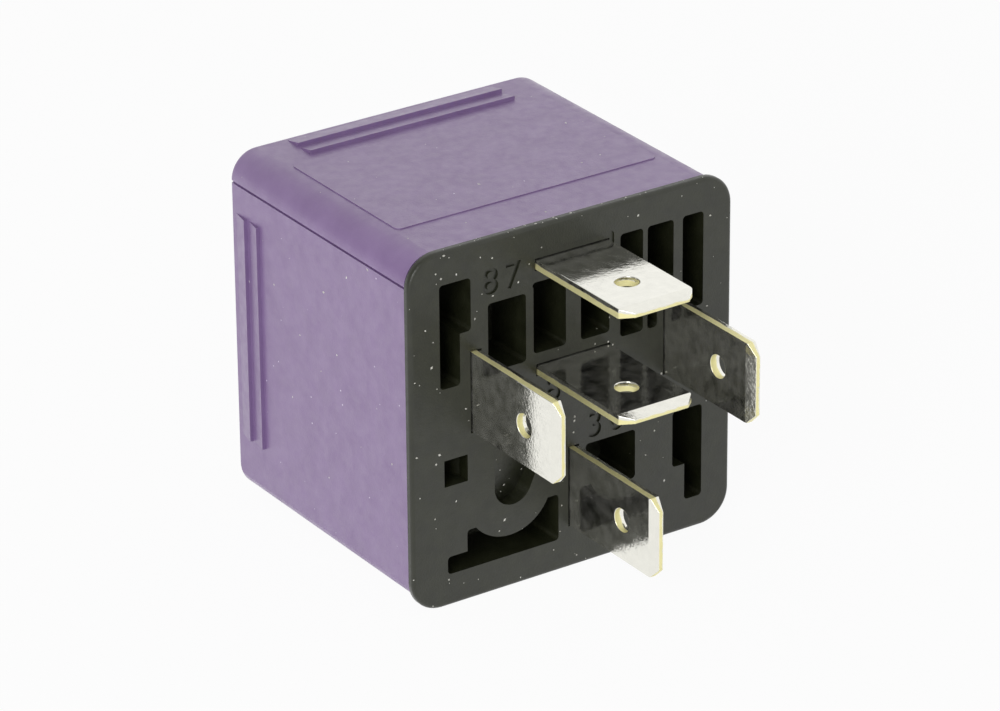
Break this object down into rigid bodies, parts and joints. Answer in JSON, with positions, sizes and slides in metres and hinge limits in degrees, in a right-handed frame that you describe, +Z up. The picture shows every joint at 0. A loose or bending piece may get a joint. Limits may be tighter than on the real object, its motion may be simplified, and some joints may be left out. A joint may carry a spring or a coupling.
{
  "type": "automotive relay",
  "caption": "Square plug-in changeover relay: purple clipped-on cover over a dark moulded base with male blades; sprung armature inside.",
  "frame": {"origin": "on the surface it lies on, under the middle of its whole length and width", "axes": "+Y from the blades' tips towards the cover's back, +Z up, +X to the right when looking at the back along +Y"},
  "size_m": [0.028, 0.0354, 0.028],
  "materials": {
    "cover_plastic": "moulded nylon, fine satin grain",
    "base_plastic": "glass-filled moulding, dark olive grey",
    "tinned_brass": "tin-plated strip with bare sheared edges",
    "plated_iron": "zinc-plated soft iron",
    "bobbin_plastic": "glass-filled moulding",
    "copper_wire": "enamelled copper wire",
    "solder": "tin solder",
    "spring_bronze": "rolled bronze strip",
    "rivet_steel": "plated steel",
    "contact_silver": "silver alloy",
    "spring_steel": "drawn wire",
    "copper_braid": "woven copper",
    "resistor_body": "lacquered ceramic",
    "tinned_copper": "tinned wire"
  },
  "bodies": {
    "housing": {"cover": "cover_plastic", "base": "base_plastic", "terminal_30": "tinned_brass", "terminal_85": "tinned_brass", "terminal_86": "tinned_brass", "terminal_87": "tinned_brass", "terminal_87a": "tinned_brass", "yoke": "plated_iron", "core": "plated_iron", "bobbin": "bobbin_plastic", "coil_winding": "copper_wire", "coil_leads": "copper_wire", "solder_joints": "solder", "fixed_contact_no": "contact_silver", "fixed_contact_nc": "contact_silver", "return_spring": "spring_steel", "braid": "copper_braid", "yoke_rivet": "rivet_steel", "resistor": "resistor_body", "resistor_leads": "tinned_copper"},
    "armature": {"armature": "plated_iron", "contact_leaf": "spring_bronze", "leaf_rivets": "rivet_steel", "moving_contact": "contact_silver"}
  },
  "joints": [
    {"name": "armature_rock", "type": "hinge", "parent": "housing", "child": "armature", "pos_m": [0, 0.01206, 0.00445], "axis": [1, 0, 0], "range_deg": [0, 2.7], "stiffness_Nm_per_rad": 0.03, "springref_deg": -22.92, "deforming": ["return_spring", "braid"]}
  ]
}
